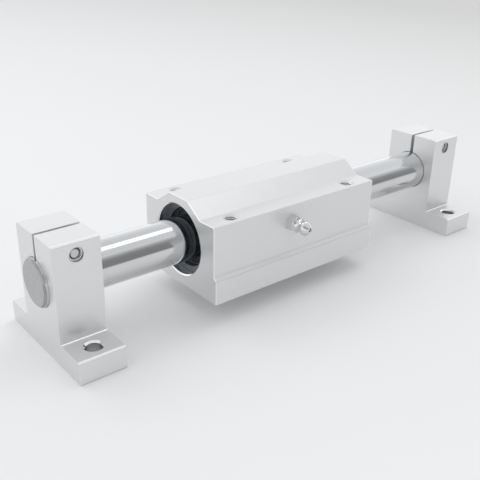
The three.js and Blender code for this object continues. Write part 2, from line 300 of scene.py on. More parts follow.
class NodeTree:
    def __init__(self, tree):
        self.tree = tree

    def node(self, kind, settings=None, values=None, output=0):
        made = self.tree.nodes.new(kind)
        for setting, value in (settings or {}).items():
            if setting == "stops":
                stops = made.color_ramp.elements
                while len(stops) < len(value):
                    stops.new(1)
                for stop, (position, colour) in zip(stops, value):
                    stop.position, stop.color = position, colour
            else:
                setattr(made, setting, value)
        for socket, value in (values or {}).items():
            self.feed(made.inputs[socket], value)
        return Wire(self, made.outputs[output])

    def feed(self, socket, value):
        if isinstance(value, Wire):
            self.tree.links.new(value.socket, socket)
        else:
            socket.default_value = value

    def parts(self, place):
        return [self.node("ShaderNodeSeparateXYZ", None, {0: place}, output) for output in range(3)]

    def blended(self, factor, first, second):
        values = {0: factor, 6: first, 7: second}
        return self.node("ShaderNodeMix", {"data_type": "RGBA"}, values, output=2)


class Finish(NodeTree):
    def __init__(self, name):
        self.material = bpy.data.materials.new(name)
        self.material.use_nodes = True
        self.shader = self.material.node_tree.nodes["Principled BSDF"]
        super().__init__(self.material.node_tree)

    def shine(self, **values):
        # shader sockets by their own names, with _ for a space
        for name, value in values.items():
            self.feed(self.shader.inputs[name.replace("_", " ")], value)
        return self.material

    def place(self, centre=(0, 0, 0), stretch=(1, 1, 1)):
        # Object coordinates in millimetres from a centre in metres, stretched along each axis
        spot = self.node("ShaderNodeTexCoord", output=3)
        moved = self.node("ShaderNodeVectorMath", {"operation": "SUBTRACT"}, {0: spot, 1: tuple(centre)})
        scale = tuple(part / mm for part in stretch)
        return self.node("ShaderNodeVectorMath", {"operation": "MULTIPLY"}, {0: moved, 1: scale})

    def noise(self, place, scale, detail=2, roughness=0.5):
        return self.node("ShaderNodeTexNoise", None, {
            "Vector": place, "Scale": scale, "Detail": detail, "Roughness": roughness,
        })

    def bump(self, height, strength, distance):
        return self.node("ShaderNodeBump", None, {
            "Height": height, "Strength": strength, "Distance": distance * mm,
        })


def grey(level, warmth=0.0):
    return (level * (1 + warmth), level, level * (1 - warmth), 1)


# the ground and chromed shaft

shaftLook = {"chamfer": 0.8, "soften": 0.1, "steps": 144}


def makeShaft():
    low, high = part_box("shaft")
    radius, length = (high.z - low.z) / 2 / mm, (high.x - low.x) / mm
    chamfer = shaftLook["chamfer"]
    shaft = turned("shaftBlank", Vector((low.x, 0, axisHeight)), alongX, [
        (0, 0), (radius - chamfer, 0), (radius, chamfer),
        (radius, length - chamfer), (radius - chamfer, length), (0, length),
    ], shaftLook["steps"])
    softened(shaft, shaftLook["soften"], 2, 20)
    shaft.data.materials.append(chromeFinish())
    paintFaces(shaft, facedFinish(), lambda face: abs(face.normal.x) > 0.9)
    paintFaces(shaft, palette["groundSteel"], lambda face: 0.1 < abs(face.normal.x) <= 0.9)
    return kept(shaft, "groundShaft", "rail", ["shaft"], None, 20)


# the two split supports

supportLook = {
    "postWidth": 30, "footHeight": 10, "edge": 0.8, "corner": 0.9, "soften": 0.14,
    "bore": 10.05, "boreMouth": 0.35, "slit": 1.8, "slitFlare": 0.3, "underEdge": 0.5,
    "boltSpan": 45, "boltHole": 3.3, "boltSink": 0.75, "boltHighlightReach": 4.2,
}
clampLook = {
    "height": 45.4, "pitch": 0.8, "major": 2.6, "minor": 2.15, "mouth": 3.2,
    "mouthWall": 2.9, "mouthDepth": 1.3, "paintedShadeFrom": 0.4, "paintedShadeTo": 1.3,
    "clearance": 2.75, "seat": 11.6, "pocket": 4.75, "pocketSink": 0.3,
}


def supportOutline(low, high):
    look = supportLook
    width, height = high.y / mm, high.z / mm
    post, foot = look["postWidth"] / 2, look["footHeight"]
    edge, under, corner = look["edge"], look["underEdge"], look["corner"]
    fillet = []
    for step in range(7):
        angle = step / 6 * math.pi / 2
        fillet.append((post + corner * (1 - math.sin(angle)), foot + corner * (1 - math.cos(angle))))
    return mirroredOutline(low.x, [
        (width - under, 0), (width, under), (width, foot - edge), (width - edge, foot), *fillet,
        (post, height - edge), (post - edge, height),
    ])


def slitCutters(low, high):
    # the slit, opening out by a small flare at both faces and along the top
    half, flare, past = supportLook["slit"] / 2 * mm, supportLook["slitFlare"] * mm, 1 * mm
    wide = half + flare + past
    corners = [
        (low.x - past, -wide), (low.x + flare, -half), (high.x - flare, -half), (high.x + past, -wide),
        (high.x + past, wide), (high.x - flare, half), (low.x + flare, half), (low.x - past, wide),
    ]
    footprint = [Vector((x, y, axisHeight)) for x, y in corners]
    upright = prism("slitCutter", footprint, alongZ * (high.z - axisHeight + past))
    roof = [(-wide, high.z + past), (-half, high.z - flare), (half, high.z - flare), (wide, high.z + past)]
    opening = [Vector((low.x - past, y, z)) for y, z in roof]
    top = prism("slitTopCutter", opening, alongX * (high.x - low.x + 2 * past))
    return upright, top


def boreCutter(low, high):
    radius, mouth, past = supportLook["bore"], supportLook["boreMouth"], 1
    length = (high.x - low.x) / mm
    return turned("boreCutter", Vector((low.x, 0, axisHeight)), alongX, [
        (0, -past), (radius + mouth + past, -past), (radius, mouth), (radius, length - mouth),
        (radius + mouth + past, length + past), (0, length + past),
    ], 128)


def footHoleCutter(centre, high):
    radius, sink, past = supportLook["boltHole"], supportLook["boltSink"], 1
    return turned("footHoleCutter", centre, alongZ, [
        (0, -past), (radius + past + 0.2, -past), (radius, 0.2), (radius, high - sink),
        (radius + sink + past, high + past), (0, high + past),
    ], 64)


def clampCutters(centre):
    # threaded from the near cheek's face to the slit, plain beyond it, with a pocket for the head
    look = clampLook
    face, past = supportLook["postWidth"] / 2, 1
    origin = Vector((centre.x, -face * mm, look["height"] * mm))
    thread = threaded(
        "clampThreadCutter", origin, alongY, look["major"], look["minor"], look["pitch"], -past, face,
    )
    rim, wall, depth = look["mouth"], look["mouthWall"], look["mouthDepth"]
    mouth = turned("clampMouthCutter", origin, alongY, [
        (0, -past), (rim + past, -past), (wall, rim - wall), (wall, depth),
        (look["minor"], depth + 0.2), (0, depth + 0.2),
    ], 64)
    clearance, seat, pocket, sink = look["clearance"], look["seat"], look["pocket"], look["pocketSink"]
    plain = turned("clampPlainCutter", Vector((centre.x, 0, look["height"] * mm)), alongY, [
        (0, 0), (clearance, 0), (clearance, seat), (pocket, seat), (pocket, face - sink),
        (pocket + sink + past, face + past), (0, face + past),
    ], 64)
    return thread, mouth, plain


def makeSupport(side):
    node = side + "_support"
    low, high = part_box(node)
    centre = (low + high) / 2
    support = prism("supportBlank", supportOutline(low, high), alongX * (high.x - low.x))
    softened(support, supportLook["soften"], 2, 28)
    cut(support, boreCutter(low, high), *slitCutters(low, high), *clampCutters(centre))
    footSpots = [Vector((centre.x, way * supportLook["boltSpan"] / 2 * mm, 0)) for way in (-1, 1)]
    cut(support, *[footHoleCutter(spot, supportLook["footHeight"]) for spot in footSpots])
    support.data.materials.append(anodisedFinish(side + "SupportAnodised", supportTone, centre))
    milled = milledFinish(side + "SupportMilled", supportTone, centre)
    paintFaces(support, milled, lambda face: abs(face.normal.x) > 0.99)

    # the walls round the foot holes, which get a painted highlight
    def footHoleHighlight(face):
        nearest = min(offAxis(face, spot, alongZ) for spot in footSpots)
        return abs(face.normal.z) < 0.9 and nearest < supportLook["boltHighlightReach"]

    # the clamp hole's wall past its mouth, which gets dark steel as painted shade
    def clampHoleShade(face):
        look = clampLook
        spot = Vector((centre.x, 0, look["height"] * mm))
        outermost, innermost = (look["paintedShadeFrom"] - supportLook["postWidth"] / 2) * mm, -look["paintedShadeTo"] * mm
        deep = outermost < face.calc_center_median().y < innermost
        inside = offAxis(face, spot, alongY) < look["mouthWall"] + 0.05
        return deep and inside and abs(face.normal.y) < 0.95

    # painted highlight on the upward chamfers and the foot holes' walls
    paintFaces(support, palette["chamfer"], lambda face: highlightedChamfer(face) or footHoleHighlight(face))
    # painted shade inside the clamp hole
    paintFaces(support, palette["groundSteel"], clampHoleShade)
    return kept(support, side + "SupportBody", "rail", [node], None, 28)


def highlightedChamfer(face):
    # the long upward-facing chamfers of the post and the feet, which get a painted highlight
    return abs(face.normal.x) < 0.3 and 0.3 < face.normal.z < 0.95 and face.calc_area() > 2 * mm * mm


def offAxis(face, centre, axis):
    # how far a face's middle lies from an axis, in millimetres
    spot = face.calc_center_median() - centre
    return (spot - axis * spot.dot(axis)).length / mm


# the clamp screws, heads in their pockets and tips in the thread

screwLook = {
    "major": 2.46, "minor": 2.03, "length": 25, "head": 4.25, "headHeight": 5, "headEdge": 0.5,
    "key": 4, "keyDepth": 2.5, "knurls": 44, "tip": 0.6,
}


def makeClampScrew(side):
    look = screwLook
    node = side + "_clamp_screw"
    low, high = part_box(node)
    face = supportLook["postWidth"] / 2
    origin = Vector((0, -face * mm, (low.z + high.z) / 2))
    seat = high.y / mm - look["headHeight"] + face
    tip = seat - look["length"]
    major, minor, wide = look["major"], look["minor"], look["head"]
    edge, crown = look["headEdge"], seat + look["headHeight"]
    shank = threaded("shankThread", origin, alongY, major, minor, clampLook["pitch"], tip, seat - 1.5)
    ease = turned("tipEase", origin, alongY, [
        (minor - look["tip"] + 0.2, tip - 0.01), (major + 1, tip - 0.01), (major + 1, tip + 1.4),
    ], 48, closed=True)
    cut(shank, ease)
    head = turned("screwHead", origin, alongY, [
        (0, seat - 2.5), (minor - 0.1, seat - 2.5), (minor + 0.2, seat - 1.2), (minor + 0.3, seat),
        (wide - 0.25, seat), (wide, seat + 0.25), (wide, crown - edge), (wide - edge, crown), (0, crown),
    ], 2 * look["knurls"])
    knurl(head, origin, seat)
    pick()
    top = origin + alongY * crown * mm
    bpy.ops.mesh.primitive_cylinder_add(
        vertices=6, radius=look["key"] / math.sqrt(3) * mm, depth=2 * look["keyDepth"] * mm,
        location=top, rotation=(math.pi / 2, 0, 0),
    )
    socket = settle(bpy.context.object)
    key = look["key"] / 2
    mouth = turned("keyMouth", top, alongY, [(0, -0.35), (key, -0.35), (key + 1, 0.65), (0, 0.65)], 48)
    drill = turned("keyDrill", top, alongY, [(0, -3.6), (key - 0.05, -2.45), (0, -2.3)], 48)
    cut(head, socket, mouth, drill)
    cut(head, shank, operation="UNION")
    head.location.x = (low.x + high.x) / 2
    settle(head)
    return kept(head, side + "ClampScrew", "rail", [node], palette["zinc"])


def knurl(head, origin, seat):
    # every other edge of the head's wall is pulled in a little
    look = screwLook
    openEdit(head)

    def inWall(vertex):
        rise = (vertex.co.y - origin.y) / mm
        if not seat + 0.2 < rise < seat + look["headHeight"] - look["headEdge"] + 0.05:
            return False
        angle = math.atan2(vertex.co.z - origin.z, vertex.co.x - origin.x)
        return round(angle / math.pi * look["knurls"]) % 2 == 0

    selectWhere(head, "VERT", inWall)
    shrink = 1 - 0.14 / look["head"]
    bpy.context.scene.tool_settings.transform_pivot_point = "MEDIAN_POINT"
    bpy.ops.transform.resize(value=(shrink, 1, shrink), center_override=origin)
    closeEdit()


# the pillow block's case

caseLook = {
    "length": 96, "lowerWidth": 54, "lowerTop": 21, "upperWidth": 50.8, "bevelTop": 22.6,
    "shoulder": 45, "crownFoot": 15.6, "crownTop": 6.8, "soften": 0.32,
    "bore": 16.02, "boreMouth": 0.5, "channel": 16.7, "channelLength": 13,
    "circlipFrom": 4.4, "circlipTo": 5.85, "groove": 17,
    "holeSpacing": (70, 40), "holeMouth": 3.55, "threadMajor": 3.05, "threadMinor": 2.55, "threadPitch": 1.0,
}


def caseOutline(low, high):
    look = caseLook
    lower, upper, shoulder = look["lowerWidth"] / 2, look["upperWidth"] / 2, look["shoulder"]
    return mirroredOutline(low.x, [
        (lower, low.z / mm), (lower, look["lowerTop"]), (upper, look["bevelTop"]), (upper, shoulder),
        (look["crownFoot"], shoulder), (look["crownTop"], high.z / mm),
    ])


def caseBoreCutter(low, high):
    look = caseLook
    half, past = (high.x - low.x) / 2 / mm, 1
    ringFrom, ringTo = half - look["circlipFrom"], half - look["circlipTo"]
    bore, mouth, groove = look["bore"], look["boreMouth"], look["groove"]
    channel, start = look["channel"], -look["channelLength"] / 2
    left = [
        (0, -half - past), (bore + mouth + past, -half - past), (bore, mouth - half), (bore, -ringFrom),
        (groove, -ringFrom), (groove, -ringTo), (bore, -ringTo), (bore, start), (channel, start),
    ]
    right = [(radius, -station) for radius, station in reversed(left)]
    return turned("caseBoreCutter", caseMiddle, alongX, left + right, 128)


def tableHoleCutters(low):
    # one threaded hole with its mouths, modelled once and copied to the four places
    look = caseLook
    height, past = look["shoulder"] - low.z / mm, 1
    long, wide = look["holeSpacing"]
    spots = [
        Vector((caseMiddle.x + a * long / 2 * mm, b * wide / 2 * mm, low.z))
        for a in (-1, 1) for b in (-1, 1)
    ]
    minor, mouth = look["threadMinor"], look["holeMouth"]
    thread = threaded(
        "tableThreadCutter", spots[0], alongZ, look["threadMajor"], minor, look["threadPitch"],
        -past, height + past, 32,
    )
    reach = mouth - minor
    mouths = turned("tableMouthCutter", spots[0], alongZ, [
        (0, -past), (mouth + past, -past), (minor, reach), (minor - 0.2, reach),
        (minor - 0.2, height - reach), (minor, height - reach), (mouth + past, height + past),
        (0, height + past),
    ], 64)
    cutters = []
    for spot in spots:
        for master in (thread, mouths):
            cutters.append(copied(master, master.name + "Copy", Matrix.Translation(spot - spots[0])))
    bpy.data.objects.remove(thread)
    bpy.data.objects.remove(mouths)
    return cutters


def nippleHoleCutters(low):
    look = nippleLook
    face = nippleSeat()
    thread = threaded(
        "nippleThreadCutter", face, alongY, look["holeMajor"], look["holeMinor"], look["pitch"], -1, 6.5,
    )
    passage = turned("nipplePassageCutter", face, alongY, [
        (0, -1), (look["holeMajor"] + 1.2, -1), (look["holeMinor"], 0.6), (look["holeMinor"], 6.6),
        (look["passage"], 7), (look["passage"], 13), (0, 13),
    ], 48)
    return thread, passage


def makeCase():
    low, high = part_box("case")
    case = prism("caseBlank", caseOutline(low, high), alongX * (high.x - low.x))
    softened(case, caseLook["soften"], 3, 25)
    cut(case, caseBoreCutter(low, high), *tableHoleCutters(low), *nippleHoleCutters(low))
    case.data.materials.append(anodisedFinish("caseAnodised", caseTone, caseMiddle))
    paintFaces(case, milledFinish("caseMilled", caseTone, caseMiddle), onEnd)
    # the bore wall gets a darker finish: turning marks, and painted shade inside the bore
    paintFaces(case, shadedBoreFinish(), inShadedBore)
    # painted highlight on the eased edges at both ends and the bore's mouths
    paintFaces(case, palette["chamfer"], endEdgeHighlight)
    return kept(case, "blockCase", "block", ["case"], None, 25)


def fromMiddle(face):
    # how far a face's middle lies from the middle of the case along the shaft, in millimetres
    return abs(face.calc_center_median().x - caseMiddle.x) / mm


def onEnd(face):
    return abs(face.normal.x) > 0.99 and fromMiddle(face) > caseLook["length"] / 2 - 0.1


def endEdgeHighlight(face):
    # the eased edges round both ends and the mouths of the bore, which get a painted highlight
    return 0.25 < abs(face.normal.x) < 0.97 and fromMiddle(face) > caseLook["length"] / 2 - 0.8


def inShadedBore(face):
    look = caseLook
    spot = face.calc_center_median() - caseMiddle
    inWall = look["bore"] - 0.2 < math.hypot(spot.y, spot.z) / mm < look["groove"] + 0.1
    facing = face.normal.y * spot.y + face.normal.z * spot.z < 0 or abs(face.normal.x) > 0.9
    return inWall and facing and fromMiddle(face) < look["length"] / 2 - look["boreMouth"] - 0.1


# circlips and the bushings' own spring rings

circlipLook = {
    "outer": 16.75, "inner": 13.4, "lugInner": 11.7, "lugAngle": 0.2, "lugBlend": 0.12, "soften": 0.12,
    "eye": 0.95, "eyeRadius": 13.4, "direction": -0.6, "gap": 0.16,
}
springRingLook = {"outer": 14.5, "inner": 12.6, "outerGap": 0.14, "innerGap": 0.17, "soften": 0.15}


def arc(radius, start, end, steps):
    angles = [start + (end - start) * step / steps for step in range(steps + 1)]
    return [(radius * math.cos(angle), radius * math.sin(angle)) for angle in angles]


def flatRing(name, outline, low, high):
    # a ring as thick as its CAD node, from an outline round the shaft's axis
    places = [Vector((low.x, y * mm, axisHeight + z * mm)) for y, z in outline]
    return prism(name, places, alongX * (high.x - low.x))


def makeCirclip(side):
    look = circlipLook
    node = side + "_circlip"
    low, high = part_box(node)
    circle, gap, lug = 2 * math.pi, look["gap"], look["gap"] + look["lugAngle"]
    outline = arc(look["outer"], gap, circle - gap, 120)
    outline += arc(look["lugInner"], circle - gap, circle - lug, 6)
    outline += arc(look["inner"], circle - lug - look["lugBlend"], lug + look["lugBlend"], 100)
    outline += arc(look["lugInner"], lug, gap, 6)
    turn = Matrix.Rotation(look["direction"], 2)
    ring = flatRing("circlipBlank", [turn @ Vector(pair) for pair in outline], low, high)
    softened(ring, look["soften"], 2, 40)
    for way in (-1, 1):
        angle = look["direction"] + way * (gap + look["lugAngle"] / 2)
        reach = look["eyeRadius"] * mm
        spot = Vector((low.x, reach * math.cos(angle), axisHeight + reach * math.sin(angle)))
        eye = turned("eyeCutter", spot, alongX, [(0, -1), (look["eye"], -1), (look["eye"], 3), (0, 3)], 32)
        cut(ring, eye)
    return kept(ring, side + "BoreCirclip", "block", [node], palette["black"])


def makeSpringRing(side, place):
    look = springRingLook
    node = side + "_" + place + "_ring"
    low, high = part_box(node)
    outline = arc(look["outer"], look["outerGap"], 2 * math.pi - look["outerGap"], 96)
    outline += arc(look["inner"], 2 * math.pi - look["innerGap"], look["innerGap"], 96)
    ring = flatRing("springRingBlank", outline, low, high)
    softened(ring, look["soften"], 3, 40)
    name = side + place.title() + "Ring"
    return kept(ring, name, "bushings", [node], palette["black"])


# the grease nipple with its check ball and spring

nippleLook = {
    "hexAcross": 7, "hexHeight": 4.2, "major": 2.94, "minor": 2.4, "holeMajor": 3.06, "holeMinor": 2.52,
    "pitch": 1.0, "passage": 2, "neck": 2.35, "head": 3.25, "tip": 1.55, "reach": 11.6, "shank": 5.5,
    "channel": 1.4, "mouth": 0.8, "ball": 9.85, "ballRadius": 1.2,
}


def nippleSeat():
    # where the nipple's axis meets the case's side
    spot = middle("nipple_body")
    return Vector((spot.x, -caseLook["upperWidth"] / 2 * mm, spot.z))


def makeNippleBody():
    look = nippleLook
    seat, outward = nippleSeat(), -alongY
    neck, head, tip, reach = look["neck"], look["head"], look["tip"], look["reach"]
    body = turned("nippleStem", seat, outward, [
        (0, -1.2), (look["minor"] - 0.1, -1.2), (look["minor"] - 0.1, 0.2), (3.05, 0.3), (3.05, 4.4),
        (neck + 0.75, 4.6), (neck + 0.2, 5.3), (neck, 6.1), (neck, 6.7), (neck + 0.35, 7.15),
        (head - 0.25, 7.75), (head, 8.2), (head, 9.1), (head - 0.18, 9.45), (2.75, 9.95),
        (tip + 0.25, reach - 0.45), (tip, reach - 0.12), (tip - 0.15, reach), (0, reach),
    ], 96)
    corner, height = look["hexAcross"] / math.sqrt(3), look["hexHeight"]
    pick()
    bpy.ops.mesh.primitive_cylinder_add(
        vertices=6, radius=corner * mm, depth=height * mm,
        location=seat + outward * height / 2 * mm, rotation=(math.pi / 2, 0, 0),
    )
    hexagon = settle(bpy.context.object)
    pointUp(hexagon, seat)
    softened(hexagon, 0.15, 2, 40)
    rim = turned("hexRim", seat, outward, [
        (0, -0.5), (corner - 0.25, -0.5), (corner + 0.1, 0.4), (corner + 0.1, height - 0.5),
        (look["hexAcross"] / 2 - 0.1, height + 0.05), (0, height + 0.05),
    ], 96)
    cut(hexagon, rim, operation="INTERSECT")
    shank = threaded(
        "nippleThread", seat, alongY, look["major"], look["minor"], look["pitch"], 0.5, look["shank"],
    )
    mouth, channel, inner = look["mouth"], look["channel"], -look["shank"]
    passage = turned("nippleChannel", seat, outward, [
        (0, inner - 1), (mouth, inner - 1), (mouth, 0.7 + inner), (channel, 0.7 + inner), (channel, 9.8),
        (mouth, 11), (mouth, 11.35), (mouth + 1, 12.35), (0, 12.35),
    ], 64)
    cut(body, hexagon, shank, operation="UNION")
    cut(body, passage)
    return kept(welded(body), "nippleBody", "block", ["nipple_body"], palette["plated"])


def pointUp(hexagon, seat):
    # the hexagon stands on a corner: turned if its corners lie level
    highest = max(vertex.co.z for vertex in hexagon.data.vertices) - seat.z
    if highest < nippleLook["hexAcross"] / math.sqrt(3) * mm - 0.05 * mm:
        hexagon.matrix_world = turnAbout(seat, "Y", math.pi / 6) @ hexagon.matrix_world
        settle(hexagon)


def makeNippleBall():
    look = nippleLook
    centre = nippleSeat() - alongY * look["ball"] * mm
    pick()
    bpy.ops.mesh.primitive_cube_add(size=1.6 * look["ballRadius"] * mm, location=centre)
    ball = roundedCube(bpy.context.object, look["ballRadius"], centre, 9)
    return kept(ball, "nippleBall", "check_ball", ["nipple_ball"], palette["ball"], 60)


def roundedCube(cube, radius, centre, cuts):
    # a cube divided and pushed out to a ball of even squares
    openEdit(cube)
    bpy.ops.mesh.subdivide(number_cuts=cuts)
    bpy.ops.transform.tosphere(value=1, center_override=centre)
    closeEdit()
    settle(cube)
    reach = (cube.data.vertices[0].co - centre).length
    scale = Matrix.Scale(radius * mm / reach, 4)
    cube.matrix_world = Matrix.Translation(centre) @ scale @ Matrix.Translation(-centre)
    return settle(cube)


springLook = {
    "radius": 0.95, "wire": 0.15, "from": -4.6, "to": 8.85, "turns": 11, "closed": 1.5, "steps": 16,
    "travel": 0.8,
}


def makeNippleSpring():
    # even coils between closed ends, drawn as a curve with a round section
    look = springLook
    seat = nippleSeat()
    total = look["turns"] + 2 * look["closed"]
    span = look["to"] - look["from"]
    dead = 2 * look["wire"] * look["closed"]
    points = []
    for step in range(int(total * look["steps"]) + 1):
        turns = step / look["steps"]
        if turns < look["closed"]:
            rise = turns * 2 * look["wire"]
        elif turns > total - look["closed"]:
            rise = span - (total - turns) * 2 * look["wire"]
        else:
            rise = dead + (turns - look["closed"]) / look["turns"] * (span - 2 * dead)
        angle = 2 * math.pi * turns
        points.append(seat + Vector((
            look["radius"] * math.cos(angle), -look["from"] - rise, look["radius"] * math.sin(angle))) * mm)
    coil = wireCurve("nippleSpring", points, look["wire"], False, 2)
    kept(coil, "nippleSpring", "block", ["nipple_spring"], palette["brightSpring"], 60)
    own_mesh(coil)
    return coil


def wireCurve(name, points, radius, closed, resolution):
    curve = bpy.data.curves.new(name, "CURVE")
    curve.dimensions = "3D"
    curve.bevel_depth = radius * mm
    curve.bevel_resolution = resolution
    curve.use_fill_caps = not closed
    spline = curve.splines.new("POLY")
    spline.points.add(len(points) - 1)
    for point, spot in zip(spline.points, points):
        point.co = (*spot, 1)
    spline.use_cyclic_u = closed
    wire = bpy.data.objects.new(name, curve)
    bpy.context.scene.collection.objects.link(wire)
    pick(wire)
    bpy.ops.object.convert(target="MESH")
    wire = bpy.context.object
    openEdit(wire)
    bpy.ops.mesh.remove_doubles(threshold=0.001 * mm)
    bpy.ops.mesh.normals_make_consistent(inside=False)
    closeEdit()
    return wire


# the two ball bushings

bushLook = {
    "length": 42, "outer": 15.99, "race": 13.22, "seat": 14, "seatDepth": 4.4, "chamfer": 0.6,
    "ringGroove": 14.8, "ringFrom": 0.9, "ringTo": 2.1,
    "collarGroove": 15.25, "collarSpan": 30.5, "collarWidth": 1.6,
}
trackLook = {
    "circuits": 5, "balls": 18, "ball": 1.5875, "straight": 23.6, "turn": 2, "loaded": 11.5875,
    "back": 12.55, "shift": 0.4, "channel": 1.68, "channelSteps": 44,
}
cageLook = {
    "inner": 10.35, "outer": 13.05, "flange": 13.85, "flangeWidth": 1.8, "sealEnd": -16.5, "ringEnd": 18.5,
}
sealLook = {"outer": 13.9, "shell": 11.2, "lip": 10.02, "from": 2.3, "thickness": 1.7}


def bushMiddle(side):
    return Vector((middle(side + "_sleeve").x, 0, axisHeight))


def trackPoint(side, distance, heading):
    # a place on a circuit: a straight row on the shaft, a turn, the return row further out, and a turn
    look = trackLook
    turnLength = math.pi * look["turn"]
    half = look["straight"] + turnLength
    returning = distance >= half
    way = -1 if returning else 1
    run = distance - half if returning else distance
    share = max(0, run - look["straight"]) / turnLength
    blend = share * share * (3 - 2 * share)
    inner, outer = (look["back"], look["loaded"]) if returning else (look["loaded"], look["back"])
    radius = inner + (outer - inner) * blend
    forwards = min(run, look["straight"]) - look["straight"] / 2
    along = way * (forwards + look["turn"] * math.sin(math.pi * share))
    offset = -way * look["turn"] * math.cos(math.pi * share)
    angle = heading + 2 * offset / (look["loaded"] + look["back"])
    spot = Vector(((look["shift"] + along), radius * math.cos(angle), radius * math.sin(angle))) * mm
    if side == "far":
        spot.x, spot.y = -spot.x, -spot.y
    return bushMiddle(side) + spot


def trackSpots(side, number, count, start=0):
    # places evenly spaced round one circuit, the first a share of a step past its start
    length = 2 * (trackLook["straight"] + math.pi * trackLook["turn"])
    heading = math.pi / 2 + 2 * math.pi * number / trackLook["circuits"]
    return [trackPoint(side, length * (place + start) / count, heading) for place in range(count)]


def channelCutters(side):
    cutters = []
    for number in range(trackLook["circuits"]):
        route = trackSpots(side, number, trackLook["channelSteps"])
        cutters.append(wireCurve("channelCutter", route, trackLook["channel"], True, 5))
    return cutters


def makeSleeve(side):
    look = bushLook
    end, collar, width = look["length"] / 2, look["collarSpan"] / 2, look["collarWidth"]
    outer, chamfer, groove = look["outer"], look["chamfer"], look["collarGroove"]
    seat, ringGroove, shelf = look["seat"], look["ringGroove"], end - look["seatDepth"]
    ringFrom, ringTo = end - look["ringFrom"], end - look["ringTo"]
    outside = [
        (outer - chamfer, -end), (outer, chamfer - end), (outer, -collar), (groove, -collar),
        (groove, width - collar), (outer, width - collar),
    ]
    inside = [
        (seat + 0.3, end), (seat, end - 0.3), (seat, ringFrom), (ringGroove, ringFrom),
        (ringGroove, ringTo), (seat, ringTo), (seat, shelf), (look["race"], shelf - 0.2),
    ]
    flipped = [[(radius, -station) for radius, station in reversed(run)] for run in (outside, inside)]
    profile = outside + flipped[0] + inside + flipped[1]
    sleeve = turned("sleeveBlank", bushMiddle(side), alongX, profile, 96, closed=True)
    softened(sleeve, 0.1, 2, 40)
    cut(sleeve, *channelCutters(side))
    node = side + "_sleeve"
    return kept(sleeve, side + "Sleeve", "bushings", [node], palette["groundSteel"])


def makeCage(side):
    look = cageLook
    way = alongX * sides[side]
    inner, outer, flange = look["inner"], look["outer"], look["flange"]
    start, end, step = look["sealEnd"], look["ringEnd"], look["ringEnd"] - look["flangeWidth"]
    cage = turned("cageBlank", bushMiddle(side), way, [
        (inner + 0.25, start), (outer - 0.25, start), (outer, start + 0.25), (outer, step),
        (flange, step), (flange, end), (inner + 0.25, end), (inner, end - 0.25), (inner, start + 0.25),
    ], 96, closed=True)
    softened(cage, 0.12, 2, 40)
    cut(cage, *channelCutters(side))
    return kept(cage, side + "Cage", "bushings", [side + "_cage"], palette["resin"])


def makeCircuit(side, number):
    # one ball is modelled, then copied round its circuit
    look = trackLook
    spots = trackSpots(side, number, look["balls"], 0.5)
    pick()
    bpy.ops.mesh.primitive_cube_add(size=1.6 * look["ball"] * mm, location=spots[0])
    first = roundedCube(bpy.context.object, look["ball"], spots[0], 2)
    balls = [first] + [copied(first, "ball", Matrix.Translation(spot - spots[0])) for spot in spots[1:]]
    circuit = joined("circuitBalls", balls)
    name, node = side + "Circuit" + str(number + 1), side + "_balls_" + str(number + 1)
    return kept(circuit, name, "bushings", [node], palette["ball"], 60)


def makeSeal(side):
    look = sealLook
    way = alongX * sides[side]
    start = look["from"] - bushLook["length"] / 2
    end = start + look["thickness"]
    outer, shell, lip = look["outer"], look["shell"], look["lip"]
    seal = turned("sealBlank", bushMiddle(side), way, [
        (outer, start + 0.15), (outer, end - 0.15), (outer - 0.15, end), (shell + 0.3, end),
        (shell, end - 0.4), (shell - 0.5, start + 0.75), (lip + 0.12, start + 0.55),
        (lip, start + 0.35), (lip + 0.1, start + 0.2), (shell - 0.1, start + 0.1),
        (shell + 0.3, start + 0.3), (shell + 0.8, start + 0.3), (shell + 1.0, start),
        (outer - 0.15, start),
    ], 96, closed=True)
    softened(seal, 0.06, 2, 40)
    return kept(seal, side + "Seal", "bushings", [side + "_seal"], palette["rubber"])


# the finishes

caseTone = {"light": 0.80, "dark": 0.74, "metal": 0.5, "rough": 0.36}
supportTone = {"light": 0.82, "dark": 0.75, "metal": 0.6, "rough": 0.34}
chromeTone = {"light": 0.72, "dark": 0.64, "rough": 0.08}


def anodisedFinish(name, tone, centre):
    # drawn aluminium, etched and clear anodised: faint lines along the shaft, a matt grain, cloudy patches
    finish = Finish(name)
    spot = finish.place(centre)
    dieLines = finish.noise(finish.place(centre, (0.012, 1, 1)), 1.7, 4, 0.7)
    grain = finish.noise(spot, 5.5, 2, 0.6)
    cloud = finish.noise(spot, 0.05, 3, 0.55)
    rubs = rubMarks(finish, centre)
    shade = (cloud * 0.6 + dieLines * 0.3 + grain * 0.2 + rubs * 0.1).clamped()
    colour = finish.blended(shade, grey(tone["dark"], -0.004), grey(tone["light"], 0.002))
    rough = tone["rough"] + (grain - 0.5) * 0.14 + (cloud - 0.5) * 0.1 - rubs * 0.04
    height = dieLines * 0.5 + grain * 0.5
    return finish.shine(
        Base_Color=colour, Roughness=rough.clamped(), Metallic=tone["metal"],
        Normal=finish.bump(height, 0.25, 0.02),
    )


def rubMarks(finish, centre):
    # short polished scuffs from handling, running mostly along the piece
    strokes = finish.noise(finish.place(centre, (0.11, 1, 0.8)), 0.9, 2, 0.5)
    patches = finish.noise(finish.place(centre), 0.04, 2, 0.5)
    return ((strokes - 0.62) * 9).clamped() * ((patches - 0.5) * 5).clamped()


